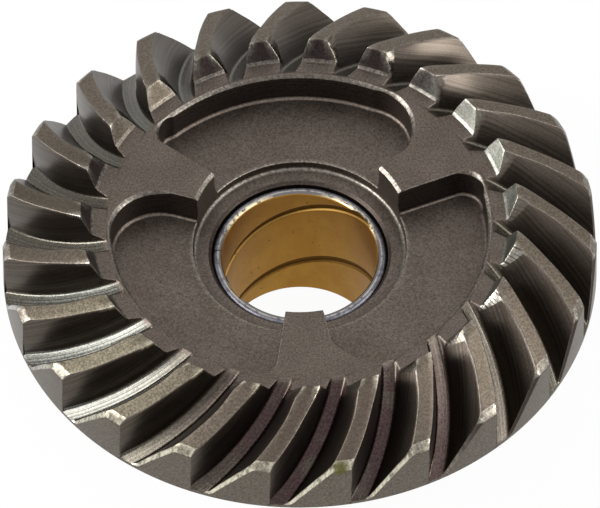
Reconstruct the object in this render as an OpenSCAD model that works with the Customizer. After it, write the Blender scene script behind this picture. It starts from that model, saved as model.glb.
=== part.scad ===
// Forward gear of an outboard lower unit.
// A spiral bevel ring of teeth, a three-dog clutch face and a hub journal are cut from
// one forging. A steel-backed bronze bush is pressed into its bore.
// Millimetres. The axis is Z, the hub end stands on Z = 0 and the teeth face up.

/* [Gear blank] */
// Diameter over the heel of the teeth
outside_d = 84; // [82:0.5:88]
// Height from the hub end to the flat front face
front_height = 30; // [28:0.5:34]
// Cone half-angle of the tooth tips
face_angle = 65.5; // [64:0.5:67]
// Diameter of the tooth tips at the toe
toe_top_d = 61.8; // [61:0.1:63]
// Height of the tooth tips at the toe above the front face
toe_height = 3.3; // [3:0.1:3.8]
// Diameter where the toe faces meet the front face
toe_base_d = 58.4; // [57.6:0.1:59]
// Width of the strip along the base of the toe faces
toe_strip = 0.35; // [0.2:0.05:0.5]
// Length of the flatter tip facet at the toe
toe_facet = 1.3; // [0.8:0.1:1.8]
// How far the toe facet drops the tip at the toe
toe_facet_drop = 0.15; // [0.05:0.05:0.3]
// Radial width of the heel chamfer
heel_chamfer = 1; // [0.6:0.1:1.4]
// Drop of the heel chamfer
heel_chamfer_drop = 1.3; // [0.8:0.1:1.6]
// Lip between the tooth root and the rim edge at the heel
rim_lip = 0.6; // [0.4:0.1:1]

/* [Teeth] */
// Number of teeth
tooth_count = 23; // [22:1:24]
// Cone half-angle of the tooth roots
root_angle = 56.2; // [55:0.2:57]
// Diameter where the root cone runs out in the front face
root_start_d = 54.4; // [54:0.1:55.4]
// Mean spiral angle, right hand
spiral_angle = 28.5; // [24:0.5:32]
// Diameter of the face-mill cutter that curves the teeth
cutter_d = 76.2; // [70:0.1:88.9]
// Transverse width of the slot bottom at the toe
root_land_toe = 2; // [1.6:0.1:2.2]
// Transverse width of the slot bottom at the heel
root_land_heel = 2.6; // [2.2:0.1:3]
// Fillet radius between slot bottom and flank
root_fillet = 0.6; // [0.4:0.05:0.8]
// Transverse slope of the flanks
flank_angle = 24.5; // [22:0.5:26]
// Turn of the first slot at mid face
slot_phase = 7.8; // [0:0.1:15]
// Length of the relief that is ground on one flank at the toe
toe_grind = 1.7; // [1.2:0.1:2.2]
// Depth of that relief at the tip
toe_grind_depth = 0.4; // [0.2:0.05:0.6]

/* [Dog clutch face] */
// Number of dogs
dog_count = 3; // [2:1:4]
// Turn of the first dog
dog_phase = 30; // [0:1:90]
// Angle from a dog's centre to its square drive side
drive_side = 7.8; // [6:0.2:10]
// Angle from a dog's centre to its sloped back side
back_side = 12.2; // [10:0.2:15]
// Diameter of the outer wall of the pockets
pocket_d = 53.2; // [52:0.1:53.6]
// Depth of the pockets below the front face
pocket_depth = 5; // [4:0.1:6]
// Corner radius at the drive side
drive_corner_r = 3; // [2:0.1:4]
// How far the drive side corner is relieved past the outer wall
drive_corner_relief = 0.3; // [0.2:0.05:0.5]
// Corner radius at the back side
back_corner_r = 7; // [6:0.1:8]
// How far the back side corner is relieved past the outer wall
back_corner_relief = 0.15; // [0.1:0.05:0.3]
// Fillet radius between pocket floor and outer wall
pocket_fillet = 0.5; // [0.3:0.1:0.8]
// Edge break around the pocket rim
pocket_chamfer = 0.5; // [0.3:0.1:0.6]

/* [Bore] */
// Diameter of the counterbore that ends the dogs
counterbore_d = 30.2; // [29:0.1:32]
// Depth of the counterbore below the front face
counterbore_depth = 6.5; // [6.2:0.1:8]
// Fillet radius at the counterbore floor
counterbore_fillet = 0.6; // [0.3:0.1:0.8]
// Edge break on the inner ends of the dogs
dog_end_chamfer = 0.5; // [0.3:0.1:0.8]
// Edge break at the mouths of the bush seat
seat_chamfer = 0.4; // [0.2:0.1:0.5]

/* [Bush] */
// Running bore of the bush
bush_bore_d = 22; // [20:0.5:24]
// Wall of the whole bush
bush_wall = 1.5; // [1.2:0.1:1.8]
// Thickness of the bronze lining
lining_t = 0.5; // [0.4:0.05:0.6]
// Length of the bush
bush_length = 22; // [20:0.1:22.2]
// Distance of the bush from the hub end
bush_inset = 0.9; // [0.6:0.1:1.5]
// Edge break on the outside of the bush ends
bush_chamfer = 0.5; // [0.3:0.1:0.7]
// Edge break on the lining ends
lining_chamfer = 0.25; // [0.1:0.05:0.35]
// Number of oil groove starts
groove_starts = 2; // [1:1:3]
// Axial rise of an oil groove in one turn
groove_pitch = 24; // [22:0.5:30]
// Width of an oil groove, measured across it
groove_w = 1.3; // [1:0.1:1.6]
// Depth of an oil groove
groove_depth = 0.3; // [0.15:0.05:0.35]
// Turn of the first oil groove at the top of the bush
groove_phase = 34.5; // [0:0.5:180]

/* [Hub and back] */
// Diameter of the bearing journal
journal_d = 35; // [34:0.5:38]
// Length of the journal from hub end to bearing shoulder
journal_length = 14; // [12:0.5:15]
// Diameter of the bearing shoulder
shoulder_d = 43; // [42:0.5:50]
// Height of the shoulder above the back face
shoulder_h = 1.5; // [1:0.1:2]
// Width of the relief groove in the shoulder, at its bottom
relief_w = 1; // [0.6:0.1:1.4]
// Depth of the relief groove
relief_depth = 0.4; // [0.2:0.1:0.6]
// Chamfer on the outside of the hub end
hub_chamfer = 1; // [0.6:0.1:1.5]

/* [Hidden] */
$fn = 120;

// Colours as the photo shows them
steel_colour = [0.39, 0.36, 0.34];
bush_steel_colour = [0.62, 0.63, 0.66];
bronze_colour = [0.62, 0.44, 0.16];

// Cutters run this far past the faces that they cut
over = 1;

// Radii and heights of the blank
outside_r = outside_d / 2;
toe_top_r = toe_top_d / 2;
toe_base_r = toe_base_d / 2;
heel_top_r = outside_r - heel_chamfer;
face_fall = 1 / tan(face_angle);
toe_facet_r = toe_top_r + toe_facet;
toe_top_z = front_height + toe_height;

// Height of the face cone at a radius
function face_z(r) = toe_top_z - (r - toe_top_r) * face_fall;

// Root cone: distance along it from its apex, and the height there
root_start_r = root_start_d / 2;
root_start_a = root_start_r / sin(root_angle);
function root_r(a) = a * sin(root_angle);
function root_z(a) = front_height - (a - root_start_a) * cos(root_angle);

heel_a = outside_r / sin(root_angle);
rim_z = root_z(heel_a) - rim_lip;

// Height of the tips over the root cone, square to it
function tip_height(a) =
  (face_z(root_r(a)) - root_z(a)) / (sin(root_angle) + cos(root_angle) * face_fall);

// Face-mill path: a cutter circle on the developed root cone
cutter_r = cutter_d / 2;
mean_a = (root_start_a + heel_a) / 2;
cutter_offset =
  sqrt(pow(mean_a, 2) + pow(cutter_r, 2) - 2 * mean_a * cutter_r * sin(spiral_angle));
function path_angle(a) =
  acos((pow(a, 2) + pow(cutter_offset, 2) - pow(cutter_r, 2)) / (2 * a * cutter_offset));
function slot_turn(a) = (path_angle(a) - path_angle(mean_a)) / sin(root_angle);

// Slot cutter: stations along the root and the steps of each fillet
slot_stations = 13;
fillet_steps = 3;
slot_clear = 0.8;
slot_overrun = 1.6;
slot_in_a = root_start_a - slot_overrun;
slot_out_a = heel_a + slot_overrun;
fillet_reach = root_fillet * tan((90 - flank_angle) / 2);

// Toe relief of one flank: how far it widens the slot's top at a station
toe_tip_a = root_start_a + (toe_top_r - root_start_r) * sin(root_angle)
  - toe_height * cos(root_angle);
grind_end_a = toe_tip_a + toe_grind * cos(spiral_angle);
function toe_flare(a) = toe_grind_depth * max(0, grind_end_a - a) / (grind_end_a - toe_tip_a);

// Half the width of the slot bottom at a station
function half_land(a) =
  let (share = (a - root_start_a) / (heel_a - root_start_a))
  (root_land_toe + (root_land_heel - root_land_toe) * share) / 2;

// Right half of the slot section at a station, bottom to top: [across, up]
function half_section(a) = concat(
  [for (i = [0 : fillet_steps])
    let (turn = i / fillet_steps * (90 - flank_angle))
    [half_land(a) - fillet_reach + root_fillet * sin(turn), root_fillet * (1 - cos(turn))]],
  [[half_land(a) + (tip_height(a) + slot_clear) * tan(flank_angle), tip_height(a) + slot_clear]]
);
half_count = fillet_steps + 2;
section_count = 2 * half_count;

// Whole section, from the top left down and up to the top right, which the toe relief widens
function section(a) =
  let (half = half_section(a))
  let (last = half_count - 1)
  concat(
    [for (i = [last : -1 : 0]) [-half[i][0], half[i][1]]],
    [for (i = [0 : last - 1]) half[i]],
    [half[last] + [toe_flare(a), 0]]
  );

// A section point set out in space: across becomes an arc about the axis
function slot_point(a, p) =
  let (r = root_r(a) + p[1] * cos(root_angle))
  let (turn = slot_turn(a) + p[0] / r * 180 / PI)
  [r * cos(turn), r * sin(turn), root_z(a) + p[1] * sin(root_angle)];

// Pockets: heights, and the centres of the two milled corners
pocket_r = pocket_d / 2;
pocket_z = front_height - pocket_depth;
dog_pitch = 360 / dog_count;
pocket_from = back_side;
pocket_to = dog_pitch - drive_side;
back_centre_r = pocket_r - back_corner_r + back_corner_relief;
back_centre_turn = pocket_from + asin(back_corner_r / back_centre_r);
drive_centre_r = pocket_r - drive_corner_r + drive_corner_relief;
drive_centre_turn = pocket_to - asin(drive_corner_r / drive_centre_r);

// Bore and bush
counterbore_r = counterbore_d / 2;
counterbore_z = front_height - counterbore_depth;
bush_bore_r = bush_bore_d / 2;
seat_r = bush_bore_r + bush_wall;
lining_r = bush_bore_r + lining_t;
bush_top = bush_inset + bush_length;

// Hub and back
journal_r = journal_d / 2;
shoulder_r = shoulder_d / 2;
back_z = journal_length + shoulder_h;
rim_under_r = outside_r - (rim_z - back_z);
shoulder_bevel = shoulder_h / 2;

// A point at a radius and turn
function polar(r, turn) = [r * cos(turn), r * sin(turn)];

// Triangles of a tube of equal rings, with its two ends closed
function tube_faces(rings, n) = concat(
  [for (i = [0 : rings - 2], j = [0 : n - 1])
    [i * n + j, (i + 1) * n + j, i * n + (j + 1) % n]],
  [for (i = [0 : rings - 2], j = [0 : n - 1])
    [i * n + (j + 1) % n, (i + 1) * n + j, (i + 1) * n + (j + 1) % n]],
  [for (j = [1 : n - 2]) [0, j, j + 1]],
  [for (j = [1 : n - 2]) (rings - 1) * n * [1, 1, 1] + [0, j + 1, j]]
);

// Turned blank with hub journal and back
module blank() {
  rotate_extrude()
    polygon([
      [0, 0],
      [journal_r - hub_chamfer, 0],
      [journal_r, hub_chamfer],
      [journal_r, journal_length + relief_depth],
      [journal_r + relief_w, journal_length + relief_depth],
      [journal_r + relief_w + relief_depth, journal_length],
      [shoulder_r, journal_length],
      [shoulder_r + shoulder_bevel, back_z],
      [rim_under_r, back_z],
      [outside_r, rim_z],
      [outside_r, face_z(heel_top_r) - heel_chamfer_drop],
      [heel_top_r, face_z(heel_top_r)],
      [toe_facet_r, face_z(toe_facet_r)],
      [toe_top_r, toe_top_z - toe_facet_drop],
      [toe_base_r + toe_strip, front_height + toe_strip],
      [toe_base_r, front_height],
      [0, front_height]
    ]);
}

// One tooth space: the slot section swept along the face-mill path
module tooth_slot() {
  even = [for (i = [0 : slot_stations - 1])
    slot_in_a + (slot_out_a - slot_in_a) * i / (slot_stations - 1)];
  stations = concat(
    [for (a = even) if (a < grind_end_a) a],
    [grind_end_a],
    [for (a = even) if (a > grind_end_a) a]
  );
  points = [for (a = stations, p = section(a)) slot_point(a, p)];
  polyhedron(points, tube_faces(len(stations), section_count));
}

// Turned cutter with a filleted floor edge and a flared rim, of a given radius
module pocket_cutter(r) {
  translate([0, 0, pocket_z])
    rotate_extrude()
      difference() {
        union() {
          square([r, pocket_depth + over]);
          polygon([
            [0, pocket_depth - pocket_chamfer],
            [r, pocket_depth - pocket_chamfer],
            [r + pocket_chamfer + over, pocket_depth + over],
            [0, pocket_depth + over]
          ]);
        }
        difference() {
          translate([r - pocket_fillet, -over])
            square([pocket_fillet + over, pocket_fillet + over]);
          translate([r - pocket_fillet, pocket_fillet])
            circle(pocket_fillet);
        }
      }
}

// Prism over a flat outline, from the pocket floor up
module pocket_prism(outline) {
  translate([0, 0, pocket_z])
    linear_extrude(pocket_depth + over)
      polygon(outline);
}

// One clutch pocket between two dogs
module pocket() {
  back_centre = polar(back_centre_r, back_centre_turn);
  drive_centre = polar(drive_centre_r, drive_centre_turn);
  reach = 2 * pocket_r;
  middle = (back_centre_turn + drive_centre_turn) / 2;
  intersection() {
    pocket_cutter(pocket_r);
    pocket_prism([
      [0, 0],
      polar(reach, back_centre_turn),
      polar(reach, middle),
      polar(reach, drive_centre_turn)
    ]);
  }
  translate(back_centre)
    pocket_cutter(back_corner_r);
  translate(drive_centre)
    pocket_cutter(drive_corner_r);
  pocket_prism([
    [0, 0],
    polar(back_centre_r * cos(back_centre_turn - pocket_from), pocket_from),
    back_centre,
    polar((back_centre_r + drive_centre_r) / 2, middle),
    drive_centre,
    polar(drive_centre_r * cos(pocket_to - drive_centre_turn), pocket_to)
  ]);
}

// Bush seat, counterbore and the edge break on the dog ends
module centre_cutter() {
  rotate_extrude()
    polygon([
      [0, -over],
      [seat_r + seat_chamfer + over, -over],
      [seat_r, seat_chamfer],
      [seat_r, counterbore_z - seat_chamfer],
      [seat_r + seat_chamfer, counterbore_z],
      [counterbore_r - counterbore_fillet, counterbore_z],
      [counterbore_r, counterbore_z + counterbore_fillet],
      [counterbore_r, front_height - dog_end_chamfer],
      [counterbore_r + dog_end_chamfer + over, front_height + over],
      [0, front_height + over]
    ]);
}

module gear_body() {
  color(steel_colour)
    difference() {
      blank();
      centre_cutter();
      for (i = [0 : dog_count - 1])
        rotate(dog_phase + i * dog_pitch)
          pocket();
      for (i = [0 : tooth_count - 1])
        rotate(slot_phase + i * 360 / tooth_count)
          tooth_slot();
    }
}

// Steel back of the bush
module bush_shell() {
  color(bush_steel_colour)
    rotate_extrude()
      polygon([
        [lining_r, bush_inset],
        [seat_r - bush_chamfer, bush_inset],
        [seat_r, bush_inset + bush_chamfer],
        [seat_r, bush_top - bush_chamfer],
        [seat_r - bush_chamfer, bush_top],
        [lining_r, bush_top]
      ]);
}

// Helical oil groove cutter, from below the bush to above it
module oil_groove() {
  groove_stations = 40;
  floor_steps = 4;
  low = bush_inset - groove_w;
  high = bush_top + groove_w;
  inner_r = bush_bore_r - groove_depth;
  outer_r = bush_bore_r + groove_depth;
  lead_angle = atan(groove_pitch / (2 * PI * bush_bore_r));
  half_turn = groove_w / sin(lead_angle) / 2 / bush_bore_r * 180 / PI;
  ring = concat(
    [[inner_r, -half_turn]],
    [for (i = [0 : floor_steps]) [outer_r, half_turn * (2 * i / floor_steps - 1)]],
    [[inner_r, half_turn]]
  );
  points = [for (i = [0 : groove_stations - 1], p = ring)
    let (z = low + (high - low) * i / (groove_stations - 1))
    let (turn = p[1] - (z - bush_top) / groove_pitch * 360)
    [p[0] * cos(turn), p[0] * sin(turn), z]];
  polyhedron(points, tube_faces(groove_stations, len(ring)));
}

// Bronze lining of the bush, with its oil grooves
module bush_lining() {
  color(bronze_colour)
    difference() {
      rotate_extrude()
        polygon([
          [bush_bore_r + lining_chamfer, bush_inset],
          [lining_r, bush_inset],
          [lining_r, bush_top],
          [bush_bore_r + lining_chamfer, bush_top],
          [bush_bore_r, bush_top - lining_chamfer],
          [bush_bore_r, bush_inset + lining_chamfer]
        ]);
      for (i = [0 : groove_starts - 1])
        rotate(groove_phase + i * 360 / groove_starts)
          oil_groove();
    }
}

gear_body();
bush_shell();
bush_lining();
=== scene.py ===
"""Looks of an outboard forward gear: a spiral bevel ring with a dog-clutch face and a bronze-lined bush.

Sizes are in millimetres and angles in degrees; a mesh is set out in metres.
The axis is Z, the hub end stands on Z = 0 and the teeth face up.
"""

import bpy
import numpy as np
from mathutils import Matrix, Vector


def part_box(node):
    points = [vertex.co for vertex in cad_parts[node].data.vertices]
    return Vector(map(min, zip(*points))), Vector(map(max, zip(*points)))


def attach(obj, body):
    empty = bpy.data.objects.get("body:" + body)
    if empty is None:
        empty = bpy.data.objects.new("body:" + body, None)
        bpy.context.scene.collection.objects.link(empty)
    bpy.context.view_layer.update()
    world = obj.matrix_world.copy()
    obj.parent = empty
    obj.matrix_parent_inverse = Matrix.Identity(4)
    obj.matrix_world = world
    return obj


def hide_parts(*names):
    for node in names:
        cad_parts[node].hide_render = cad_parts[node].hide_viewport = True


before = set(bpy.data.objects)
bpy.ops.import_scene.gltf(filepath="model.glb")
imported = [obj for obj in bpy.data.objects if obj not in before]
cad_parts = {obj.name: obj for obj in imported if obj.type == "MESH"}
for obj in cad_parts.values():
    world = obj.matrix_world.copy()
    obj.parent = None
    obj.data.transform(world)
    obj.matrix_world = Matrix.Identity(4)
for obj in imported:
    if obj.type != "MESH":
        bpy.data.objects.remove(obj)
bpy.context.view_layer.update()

MM = 0.001

# Blank of the gear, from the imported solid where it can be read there
gear_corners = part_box("gear_body")
OUTSIDE_R = gear_corners[1][0] / MM
FRONT_Z = 30.0
FACE_ANGLE = 65.5
TOE_TOP_R = 30.9
TOE_TOP_Z = 33.3
TOE_BASE_R = 29.2
TOE_STRIP = 0.35
TOE_FACET_R = 32.2
TOE_FACET_DROP = 0.15
HEEL_TOP_R = OUTSIDE_R - 1.0
HEEL_DROP = 1.3
HEEL_ROUNDING = 1.5
RIM_LIP = 0.6

# Teeth
TEETH = 23
PITCH = 360 / TEETH
ROOT_ANGLE = np.radians(56.2)
ROOT_START_R = 27.2
SPIRAL_ANGLE = np.radians(28.5)
CUTTER_R = 38.1
ROOT_LAND = (2.0, 2.6)
ROOT_FILLET = 0.6
FLANK_ANGLE = np.radians(24.5)
FLANK_CROWN = 0.2
TOE_FULLNESS = 0.4
TOE_FULLNESS_REACH = 5.0
SLOT_PHASE = 7.8
TIP_BEVEL = 0.12
TOE_CORNER = 0.1
TOE_CORNER_REACH = 0.9
RUN_IN = 0.5
COLUMNS_PER_TOOTH = 30
COLUMNS = TEETH * COLUMNS_PER_TOOTH

# Ground facets on the tooth ends
TOE_GRIND = 1.7
TOE_GRIND_DEPTH = 0.4
TOE_GRIND_TAPER = 0.35
TOE_BURR = 1.6
HEEL_GRIND = (0.15, 0.27)
HEEL_GRIND_SLOPE = 2.8

# Clutch face
DOGS = 3
DOG_PHASE = 30.0
DRIVE_SIDE = 7.8
BACK_SIDE = 12.2
POCKET_R = 26.6
POCKET_Z = FRONT_Z - 5.0
DRIVE_CORNER_R = 3.0
DRIVE_RELIEF = 0.3
BACK_CORNER_R = 7.0
BACK_RELIEF = 0.15
POCKET_FILLET = 0.5
POCKET_CHAMFER = 0.5
SIDE_FILLET = 0.4
SIDE_BREAK = 0.12
PLATE_EDGE_R = ROOT_START_R - 0.08
RING_START_R = ROOT_START_R - 0.05

# Bore and bush
COUNTERBORE_R = 15.1
COUNTERBORE_Z = FRONT_Z - 6.5
COUNTERBORE_FILLET = 0.6
SEAT_R = 12.5
SEAT_CHAMFER = 0.4
BUSH_BORE_R = 11.0
LINING_R = 11.5
BUSH_LOW = 0.9
BUSH_TOP = 22.9
BUSH_CHAMFER = 0.5
LINING_CHAMFER = 0.25
GROOVE_STARTS = 2
GROOVE_PITCH = 24.0
GROOVE_WIDTH = 1.3
GROOVE_DEPTH = 0.3
GROOVE_PHASE = 34.5

# Hub and back
JOURNAL_R = 17.5
JOURNAL_LENGTH = 14.0
SHOULDER_R = 21.5
SHOULDER_H = 1.5
RELIEF_W = 1.0
RELIEF_DEPTH = 0.4
HUB_CHAMFER = 1.0

# Root cone: distance from its apex at the front face and at the heel
ROOT_START_A = ROOT_START_R / np.sin(ROOT_ANGLE)
HEEL_A = OUTSIDE_R / np.sin(ROOT_ANGLE)
MEAN_A = (ROOT_START_A + HEEL_A) / 2
CUTTER_OFFSET = np.sqrt(MEAN_A**2 + CUTTER_R**2 - 2 * MEAN_A * CUTTER_R * np.sin(SPIRAL_ANGLE))
FILLET_REACH = ROOT_FILLET * np.tan((np.pi / 2 - FLANK_ANGLE) / 2)
FILLET_TOP = ROOT_FILLET * (1 - np.sin(FLANK_ANGLE))


def station(r, z):
    """Distance of a point along the root cone from its apex."""
    return ROOT_START_A + (r - ROOT_START_R) * np.sin(ROOT_ANGLE) - (z - FRONT_Z) * np.cos(ROOT_ANGLE)


def over_root(r, z):
    """Height of a point over the root cone, square to it."""
    return (r - ROOT_START_R) * np.cos(ROOT_ANGLE) + (z - FRONT_Z) * np.sin(ROOT_ANGLE)


# The toe relief ends on a straight line, which is set by its ends at the tip and at the toe's base
GRIND_BASE_H = over_root(TOE_BASE_R + TOE_STRIP, FRONT_Z + TOE_STRIP)
GRIND_TIP_H = over_root(TOE_TOP_R, TOE_TOP_Z - TOE_FACET_DROP)
GRIND_REACH = TOE_GRIND * np.cos(SPIRAL_ANGLE)
GRIND_BASE_A = station(TOE_BASE_R + TOE_STRIP, FRONT_Z + TOE_STRIP) + GRIND_REACH * TOE_GRIND_TAPER
GRIND_TIP_A = station(TOE_TOP_R, TOE_TOP_Z - TOE_FACET_DROP) + GRIND_REACH
GRIND_LEAN = (GRIND_TIP_A - GRIND_BASE_A) / (GRIND_TIP_H - GRIND_BASE_H)


def face_z(r):
    """Height of the tip cone at a radius."""
    return TOE_TOP_Z - (r - TOE_TOP_R) / np.tan(np.radians(FACE_ANGLE))


def root_z(r):
    """Height of the root cone at a radius."""
    return FRONT_Z - (r - ROOT_START_R) / np.tan(ROOT_ANGLE)


RIM_Z = root_z(OUTSIDE_R) - RIM_LIP
BACK_Z = JOURNAL_LENGTH + SHOULDER_H
RIM_UNDER_R = OUTSIDE_R - (RIM_Z - BACK_Z)


def smooth(x):
    """Smooth step: 0 below 0, 1 above 1 and an S between."""
    x = np.clip(x, 0, 1)
    return x * x * (3 - 2 * x)


def blank_z(r):
    """Height of the turned blank at a radius.

    Its profile runs over the plate, toe strip, toe face, toe facet and tip cone to the heel chamfer.
    """
    profile_r = [0, TOE_BASE_R, TOE_BASE_R + TOE_STRIP, TOE_TOP_R, TOE_FACET_R, HEEL_TOP_R, OUTSIDE_R]
    profile_z = [
        FRONT_Z,
        FRONT_Z,
        FRONT_Z + TOE_STRIP,
        TOE_TOP_Z - TOE_FACET_DROP,
        face_z(TOE_FACET_R),
        face_z(HEEL_TOP_R),
        face_z(HEEL_TOP_R),
    ]
    heel_share = np.clip((r - HEEL_TOP_R) / (OUTSIDE_R - HEEL_TOP_R), 0, 1)
    return np.interp(r, profile_r, profile_z) - HEEL_DROP * heel_share**HEEL_ROUNDING


def toe_corner(r):
    """1 at the toe's top corner, fading both ways along the tooth as a bell curve."""
    return np.exp(-(((r - TOE_TOP_R) / TOE_CORNER_REACH) ** 2))


def slot_turn(a):
    """Turn of the slot's middle, in degrees, at a root station.

    Its path is a cutter circle on the developed root cone.
    """

    def path_angle(s):
        return np.arccos((s**2 + CUTTER_OFFSET**2 - CUTTER_R**2) / (2 * s * CUTTER_OFFSET))

    return np.degrees(path_angle(a) - path_angle(MEAN_A)) / np.sin(ROOT_ANGLE)


def slot_half_width(a, h):
    """Half the slot's width at height h over the root: land, then a fillet arc, then a straight flank."""
    share = (a - ROOT_START_A) / (HEEL_A - ROOT_START_A)
    half_land = (ROOT_LAND[0] + (ROOT_LAND[1] - ROOT_LAND[0]) * share) / 2
    arc = np.arccos(np.clip(1 - h / ROOT_FILLET, -1, 1))
    in_fillet = half_land - FILLET_REACH + ROOT_FILLET * np.sin(arc)
    on_flank = half_land + h * np.tan(FLANK_ANGLE)
    return np.where(h < FILLET_TOP, in_fillet, on_flank)


def toe_grind_line(r):
    """Height at which the ground toe relief begins: where its straight end line passes a radius."""
    rise = np.cos(ROOT_ANGLE) + GRIND_LEAN * np.sin(ROOT_ANGLE)
    run = np.sin(ROOT_ANGLE) - GRIND_LEAN * np.cos(ROOT_ANGLE)
    behind = ROOT_START_A - GRIND_BASE_A + GRIND_LEAN * GRIND_BASE_H
    return FRONT_Z + (behind + (r - ROOT_START_R) * run) / rise


def toe_grind_reach(a, h):
    """How far a flank point lies inside the ground toe relief, along the root."""
    return GRIND_BASE_A + GRIND_LEAN * (h - GRIND_BASE_H) - a


def tooth_columns():
    """The 30 columns of a pitch, from the middle of a slot over the tooth to the next slot.

    Level 0 is the slot's middle, 1 to 4 the fillet, 5 to 10 the flank, 11 to 13 the tip edge,
    14 the land's quarter and 15 its middle.
    """
    column = np.arange(COLUMNS_PER_TOOTH)
    rising = column <= COLUMNS_PER_TOOTH // 2
    level = np.where(rising, column, COLUMNS_PER_TOOTH - column)
    side = np.where(rising, 1.0, -1.0)
    return level, side


def ring_point(r, level, side):
    """Turn, height, ground share, toe facet and way across the slot of ring points, by the column's level.

    Levels share out the height between the root cone and the blank; the slot's half width at that height,
    narrowed where the flank bulges and widened where a facet is ground, gives the turn from its middle.
    """
    top = blank_z(r)
    low = np.minimum(root_z(r), top)
    depth = (top - low) * np.sin(ROOT_ANGLE)
    bevel = np.minimum(TIP_BEVEL + TOE_CORNER * toe_corner(r), depth * 0.3)

    fillet_share = np.select([level <= 1, level == 2, level == 3], [0.0, 0.14, 0.5], 1.0)
    fillet_h = np.minimum(fillet_share * FILLET_TOP, fillet_share * depth * 0.25)
    fillet_end = np.minimum(FILLET_TOP, depth * 0.25)
    plain_mark = top - 0.45
    toe_mark = np.where(side > 0, toe_grind_line(r), top - 0.55)
    near_toe = r < TOE_FACET_R + 1
    mark = np.where(near_toe, toe_mark, plain_mark)
    mark_h = (np.clip(mark, low + 0.5 * (top - low), top) - low) * np.sin(ROOT_ANGLE)
    mark_h = np.clip(mark_h, fillet_end + 0.4 * (depth - fillet_end), depth - 1.5 * bevel)
    flank_h = fillet_end + (mark_h - 0.05 - fillet_end) * np.minimum(level - 4, 5) / 5
    flank_h = np.where(level == 10, mark_h, flank_h)
    h = np.select(
        [level <= 4, level <= 10, level == 11, level == 12],
        [fillet_h, flank_h, depth - bevel, depth - 0.3 * bevel],
        depth,
    )
    z = low + h / np.sin(ROOT_ANGLE)
    a = station(r, z)

    half = np.where(level == 0, 0.0, slot_half_width(a, h))
    whole_depth = (face_z(r) - root_z(r)) * np.sin(ROOT_ANGLE)
    flank_share = np.clip((h - FILLET_TOP) / (whole_depth - FILLET_TOP), 0, 1)
    fullness = TOE_FULLNESS * (1 - smooth((r - TOE_TOP_R) / TOE_FULLNESS_REACH))
    crown = FLANK_CROWN * 4 * flank_share * (1 - flank_share) + fullness * flank_share**2
    half = half - crown * smooth((r - TOE_BASE_R) / 0.5)
    half = half + np.select([level == 12, level == 13], [0.3 * bevel, bevel], 0.0)

    heel_reach = HEEL_GRIND[0] + HEEL_GRIND[1] * np.clip((level - 1) / 10, 0, 1)
    heel_cut = np.clip(heel_reach - (OUTSIDE_R - r), 0, None) * (level > 1) * (level < 14)
    toe_reach = toe_grind_reach(a, h) * (r > TOE_BASE_R) * (level < 14)
    toe_cut = np.clip(toe_reach, 0, None) * TOE_GRIND_DEPTH / GRIND_REACH * smooth((r - TOE_BASE_R) / 0.4)
    cut = np.where(side > 0, HEEL_GRIND_SLOPE * heel_cut + toe_cut, 0.0)
    half = half + cut
    on_relief = (side > 0) & (toe_reach > -0.01) & (level >= 10) & (level <= 12) & (r > TOE_BASE_R + 0.15)
    burr = (side < 0) & (level >= 10) & (level <= 12) & (r > TOE_TOP_R - 0.1) & (r < TOE_TOP_R + TOE_BURR)
    bare = np.where(burr, 0.7, 0.0)
    bare = np.maximum(bare, np.where(side > 0, np.clip(heel_cut / 0.05, 0, 1), 0.0))

    edge = SLOT_PHASE + slot_turn(a) + side * np.degrees(half / r)
    edge = edge + np.where(side > 0, 0.0, PITCH)
    middle = SLOT_PHASE + slot_turn(a) + PITCH / 2
    tip_a = station(r, top)
    heel_tip_cut = HEEL_GRIND_SLOPE * np.clip(sum(HEEL_GRIND) - (OUTSIDE_R - r), 0, None)
    tip_half = slot_half_width(tip_a, depth) + bevel + np.where(side > 0, heel_tip_cut, 0.0)
    quarter = middle - side * (PITCH / 2 - np.degrees(tip_half / r)) * 0.45
    turn = np.select([level == 15, level == 14], [middle, quarter], edge)

    run_in = 1 - smooth((r - RING_START_R) / RUN_IN)
    even = SLOT_PHASE + slot_turn(ROOT_START_A) + side * PITCH * level / COLUMNS_PER_TOOTH
    even = even + np.where(side > 0, 0.0, PITCH)
    turn = turn + (even - turn) * run_in
    z = np.where(run_in > 0, run_in_z(r, turn, side), z)
    return turn, z, bare * (run_in == 0), on_relief * (run_in == 0), half * side


def run_in_z(r, turn, side):
    """Height where the slots run in from the plate: the slot's section read at each point's own turn."""
    a = ROOT_START_A + (r - ROOT_START_R) / np.sin(ROOT_ANGLE)
    nearest = SLOT_PHASE + slot_turn(a) + np.where(side > 0, 0.0, PITCH)
    across = np.radians(np.abs(turn - nearest)) * r
    floor_half = slot_half_width(a, 0.0)
    past = np.clip(across - floor_half, 0, None)
    bend = ROOT_FILLET * np.cos(FLANK_ANGLE)
    in_fillet = ROOT_FILLET - np.sqrt(ROOT_FILLET**2 - np.minimum(past, bend) ** 2)
    h = in_fillet + np.clip(past - bend, 0, None) / np.tan(FLANK_ANGLE)
    return np.minimum(root_z(r) + h / np.sin(ROOT_ANGLE), FRONT_Z)


def heel_zone(level):
    """Width of the zone along the heel edge that gets finer rows.

    It is narrow at the root, widens up the flank and is the chamfer's on the land.
    """
    share = np.clip((level - 1) / 10, 0, 1)
    return np.where(level >= 12, OUTSIDE_R - HEEL_TOP_R, 0.25 + 0.75 * share**4)


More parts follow.
